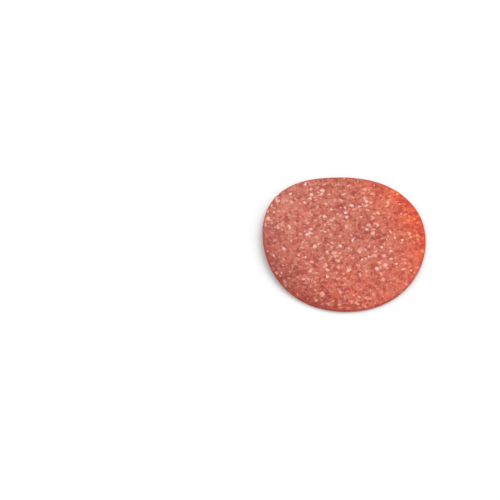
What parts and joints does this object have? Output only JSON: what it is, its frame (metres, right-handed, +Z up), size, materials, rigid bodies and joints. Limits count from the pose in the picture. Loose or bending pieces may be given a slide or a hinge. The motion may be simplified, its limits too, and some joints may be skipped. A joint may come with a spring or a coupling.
{
  "type": "cured sausage slice",
  "caption": "Thin, nearly round slice of red, fine-grained cured sausage with pale flecks of fat, peeled of its casing, lying flat with one edge curled up a little.",
  "frame": {"origin": "middle of the slice's footprint, on the surface it lies on", "axes": "+Z up through the slice's thickness, +X along its longest diameter and away from the curled edge, +Y towards its back edge"},
  "size_m": [0.0946, 0.092, 0.0049],
  "materials": {
    "cured_meat": "semi-matt, slightly moist cut face of ground lean and fat"
  },
  "bodies": {
    "root": {"sausage_slice": "cured_meat"}
  },
  "joints": []
}
